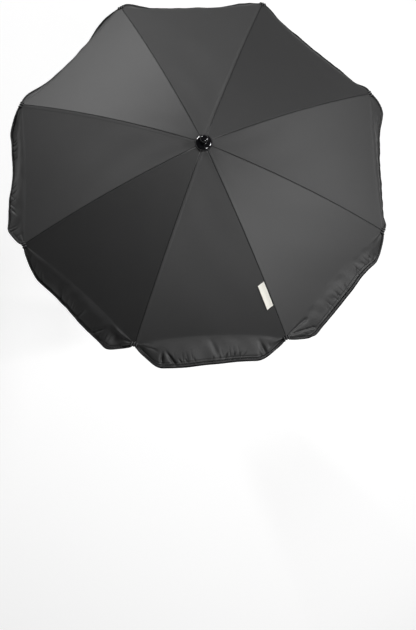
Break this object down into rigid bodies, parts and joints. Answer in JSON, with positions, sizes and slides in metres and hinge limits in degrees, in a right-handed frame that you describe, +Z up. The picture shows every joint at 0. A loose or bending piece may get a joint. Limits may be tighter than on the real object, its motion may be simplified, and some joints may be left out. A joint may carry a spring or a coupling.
{
  "type": "pram parasol",
  "caption": "Folding pram parasol: a charcoal cloth canopy with a scalloped valance on hinged ribs, a tilting shaft and a tube clamp.",
  "frame": {"origin": "centre of the clamp's bore, on the axis of the tube it grips", "axes": "+Z up the shaft to the finial, Y along the gripped tube, the clamp's mouth faces -X"},
  "size_m": [0.6712, 0.6779, 0.9018],
  "materials": {
    "canopy_cloth": "satin woven",
    "label": "plain woven",
    "rib_steel": "zinc plated",
    "shaft_metal": "satin anodised",
    "steel": "plated",
    "black_plastic": "fine grained",
    "grey_plastic": "matte",
    "gloss_black": "high gloss",
    "rubber": "matte"
  },
  "bodies": {
    "clamp": {"clamp_body": "black_plastic", "clamp_ear": "black_plastic", "upper_jaw_pad": "rubber"},
    "jaw": {"moving_jaw": "black_plastic", "lower_jaw_pad": "rubber"},
    "clamp_screw": {"clamp_screw": "steel", "clamp_knob": "black_plastic"},
    "socket": {"shaft_socket": "black_plastic", "swivel_bolt": "steel"},
    "swivel_knob": {"swivel_knob": "black_plastic"},
    "lock_pad": {"lock_pad": "steel"},
    "lock_screw": {"lock_screw": "black_plastic"},
    "bush": {"shaft_bush": "grey_plastic"},
    "lower_shaft": {"lower_shaft": "shaft_metal", "foot_cap": "black_plastic", "knuckle_fork": "black_plastic", "tilt_bolt": "steel"},
    "tilt_knob": {"tilt_knob": "black_plastic"},
    "upper_shaft": {"upper_shaft": "shaft_metal", "knuckle_tongue": "black_plastic", "crown": "black_plastic", "crown_wire": "steel", "finial_collar": "gloss_black", "finial_tip": "gloss_black"},
    "catch": {"catch_spring": "steel"},
    "runner": {"runner": "black_plastic", "runner_wire": "steel"},
    "rib_1": {"rib_1": "rib_steel", "rib_fittings_1": "black_plastic", "canopy_cloth_1": "canopy_cloth"},
    "stretcher_1": {"stretcher_1": "rib_steel"},
    "rib_2": {"rib_2": "rib_steel", "rib_fittings_2": "black_plastic", "canopy_cloth_2": "canopy_cloth"},
    "stretcher_2": {"stretcher_2": "rib_steel"},
    "rib_3": {"rib_3": "rib_steel", "rib_fittings_3": "black_plastic", "canopy_cloth_3": "canopy_cloth"},
    "stretcher_3": {"stretcher_3": "rib_steel"},
    "rib_4": {"rib_4": "rib_steel", "rib_fittings_4": "black_plastic", "canopy_cloth_4": "canopy_cloth"},
    "stretcher_4": {"stretcher_4": "rib_steel"},
    "rib_5": {"rib_5": "rib_steel", "rib_fittings_5": "black_plastic", "canopy_cloth_5": "canopy_cloth"},
    "stretcher_5": {"stretcher_5": "rib_steel"},
    "rib_6": {"rib_6": "rib_steel", "rib_fittings_6": "black_plastic", "canopy_cloth_6": "canopy_cloth"},
    "stretcher_6": {"stretcher_6": "rib_steel"},
    "rib_7": {"rib_7": "rib_steel", "rib_fittings_7": "black_plastic", "canopy_cloth_7": "canopy_cloth", "sewn_label": "label"},
    "stretcher_7": {"stretcher_7": "rib_steel"},
    "rib_8": {"rib_8": "rib_steel", "rib_fittings_8": "black_plastic", "canopy_cloth_8": "canopy_cloth"},
    "stretcher_8": {"stretcher_8": "rib_steel"}
  },
  "joints": [
    {"name": "jaw_slide", "type": "slide", "parent": "clamp", "child": "jaw", "axis": [0, 0, -1], "range_m": [0, 0.016]},
    {"name": "clamp_screw_turn", "type": "hinge", "parent": "clamp", "child": "clamp_screw", "pos_m": [0, 0, -0.067], "axis": [0, 0, -1], "range_deg": [0, 2880]},
    {"name": "swivel", "type": "hinge", "parent": "clamp", "child": "socket", "pos_m": [0, 0, 0.0335], "axis": [1, 0, 0], "range_deg": [-90, 90]},
    {"name": "swivel_knob_turn", "type": "hinge", "parent": "socket", "child": "swivel_knob", "pos_m": [0.011, 0, 0.0335], "axis": [1, 0, 0], "range_deg": [0, 720]},
    {"name": "lock_screw_turn", "type": "hinge", "parent": "socket", "child": "lock_screw", "pos_m": [0.018, 0, 0.1015], "axis": [1, 0, 0], "range_deg": [0, 720]},
    {"name": "lock_pad_slide", "type": "slide", "parent": "lock_screw", "child": "lock_pad", "axis": [1, 0, 0], "range_m": [0, 0.002]},
    {"name": "shaft_turn", "type": "hinge", "parent": "socket", "child": "bush", "pos_m": [0, 0, 0.1195], "axis": [0, 0, 1], "continuous": true},
    {"name": "shaft_height", "type": "slide", "parent": "bush", "child": "lower_shaft", "axis": [0, 0, 1], "range_m": [0, 0.04]},
    {"name": "tilt", "type": "hinge", "parent": "lower_shaft", "child": "upper_shaft", "pos_m": [0, 0, 0.34], "axis": [1, 0, 0], "range_deg": [-90, 90]},
    {"name": "tilt_knob_turn", "type": "hinge", "parent": "lower_shaft", "child": "tilt_knob", "pos_m": [0.0115, 0, 0.34], "axis": [1, 0, 0], "range_deg": [0, 720]},
    {"name": "catch_press", "type": "hinge", "parent": "upper_shaft", "child": "catch", "pos_m": [0.003, 0, 0.6525], "axis": [0, -1, 0], "range_deg": [0, 4.5], "stiffness_Nm_per_rad": 0.4},
    {"name": "runner_slide", "type": "slide", "parent": "upper_shaft", "child": "runner", "axis": [0, 0, -1], "range_m": [0, 0.23171], "deforming": ["canopy_cloth_1", "canopy_cloth_2", "canopy_cloth_3", "canopy_cloth_4", "canopy_cloth_5", "canopy_cloth_6", "canopy_cloth_7", "canopy_cloth_8", "catch_spring", "sewn_label"]},
    {"name": "rib_1_fold", "type": "hinge", "parent": "upper_shaft", "child": "rib_1", "pos_m": [0.00924, 0.00383, 0.79], "axis": [-0.3827, 0.9239, 0], "range_deg": [0, 64.8]},
    {"name": "stretcher_1_fold", "type": "hinge", "parent": "rib_1", "child": "stretcher_1", "pos_m": [0.14782, 0.06123, 0.7554], "axis": [-0.3827, 0.9239, 0], "range_deg": [-129.6, 0]},
    {"name": "rib_2_fold", "type": "hinge", "parent": "upper_shaft", "child": "rib_2", "pos_m": [0.00383, 0.00924, 0.79], "axis": [-0.9239, 0.3827, 0], "range_deg": [0, 64.8]},
    {"name": "stretcher_2_fold", "type": "hinge", "parent": "rib_2", "child": "stretcher_2", "pos_m": [0.06123, 0.14782, 0.7554], "axis": [-0.9239, 0.3827, 0], "range_deg": [-129.6, 0]},
    {"name": "rib_3_fold", "type": "hinge", "parent": "upper_shaft", "child": "rib_3", "pos_m": [-0.00383, 0.00924, 0.79], "axis": [-0.9239, -0.3827, 0], "range_deg": [0, 64.8]},
    {"name": "stretcher_3_fold", "type": "hinge", "parent": "rib_3", "child": "stretcher_3", "pos_m": [-0.06123, 0.14782, 0.7554], "axis": [-0.9239, -0.3827, 0], "range_deg": [-129.6, 0]},
    {"name": "rib_4_fold", "type": "hinge", "parent": "upper_shaft", "child": "rib_4", "pos_m": [-0.00924, 0.00383, 0.79], "axis": [-0.3827, -0.9239, 0], "range_deg": [0, 64.8]},
    {"name": "stretcher_4_fold", "type": "hinge", "parent": "rib_4", "child": "stretcher_4", "pos_m": [-0.14782, 0.06123, 0.7554], "axis": [-0.3827, -0.9239, 0], "range_deg": [-129.6, 0]},
    {"name": "rib_5_fold", "type": "hinge", "parent": "upper_shaft", "child": "rib_5", "pos_m": [-0.00924, -0.00383, 0.79], "axis": [0.3827, -0.9239, 0], "range_deg": [0, 64.8]},
    {"name": "stretcher_5_fold", "type": "hinge", "parent": "rib_5", "child": "stretcher_5", "pos_m": [-0.14782, -0.06123, 0.7554], "axis": [0.3827, -0.9239, 0], "range_deg": [-129.6, 0]},
    {"name": "rib_6_fold", "type": "hinge", "parent": "upper_shaft", "child": "rib_6", "pos_m": [-0.00383, -0.00924, 0.79], "axis": [0.9239, -0.3827, 0], "range_deg": [0, 64.8]},
    {"name": "stretcher_6_fold", "type": "hinge", "parent": "rib_6", "child": "stretcher_6", "pos_m": [-0.06123, -0.14782, 0.7554], "axis": [0.9239, -0.3827, 0], "range_deg": [-129.6, 0]},
    {"name": "rib_7_fold", "type": "hinge", "parent": "upper_shaft", "child": "rib_7", "pos_m": [0.00383, -0.00924, 0.79], "axis": [0.9239, 0.3827, 0], "range_deg": [0, 64.8]},
    {"name": "stretcher_7_fold", "type": "hinge", "parent": "rib_7", "child": "stretcher_7", "pos_m": [0.06123, -0.14782, 0.7554], "axis": [0.9239, 0.3827, 0], "range_deg": [-129.6, 0]},
    {"name": "rib_8_fold", "type": "hinge", "parent": "upper_shaft", "child": "rib_8", "pos_m": [0.00924, -0.00383, 0.79], "axis": [0.3827, 0.9239, 0], "range_deg": [0, 64.8]},
    {"name": "stretcher_8_fold", "type": "hinge", "parent": "rib_8", "child": "stretcher_8", "pos_m": [0.14782, -0.06123, 0.7554], "axis": [0.3827, 0.9239, 0], "range_deg": [-129.6, 0]}
  ],
  "couplings": [
    {"joint": "jaw_slide", "follows": "clamp_screw_turn", "m_per_rad": 0.00031831},
    {"joint": "lock_pad_slide", "follows": "lock_screw_turn", "m_per_rad": 0.00015915},
    {"joint": "rib_1_fold", "follows": "runner_slide", "rad_per_m": 4.881},
    {"joint": "stretcher_1_fold", "follows": "runner_slide", "rad_per_m": -9.7619},
    {"joint": "rib_2_fold", "follows": "runner_slide", "rad_per_m": 4.881},
    {"joint": "stretcher_2_fold", "follows": "runner_slide", "rad_per_m": -9.7619},
    {"joint": "rib_3_fold", "follows": "runner_slide", "rad_per_m": 4.881},
    {"joint": "stretcher_3_fold", "follows": "runner_slide", "rad_per_m": -9.7619},
    {"joint": "rib_4_fold", "follows": "runner_slide", "rad_per_m": 4.881},
    {"joint": "stretcher_4_fold", "follows": "runner_slide", "rad_per_m": -9.7619},
    {"joint": "rib_5_fold", "follows": "runner_slide", "rad_per_m": 4.881},
    {"joint": "stretcher_5_fold", "follows": "runner_slide", "rad_per_m": -9.7619},
    {"joint": "rib_6_fold", "follows": "runner_slide", "rad_per_m": 4.881},
    {"joint": "stretcher_6_fold", "follows": "runner_slide", "rad_per_m": -9.7619},
    {"joint": "rib_7_fold", "follows": "runner_slide", "rad_per_m": 4.881},
    {"joint": "stretcher_7_fold", "follows": "runner_slide", "rad_per_m": -9.7619},
    {"joint": "rib_8_fold", "follows": "runner_slide", "rad_per_m": 4.881},
    {"joint": "stretcher_8_fold", "follows": "runner_slide", "rad_per_m": -9.7619}
  ]
}
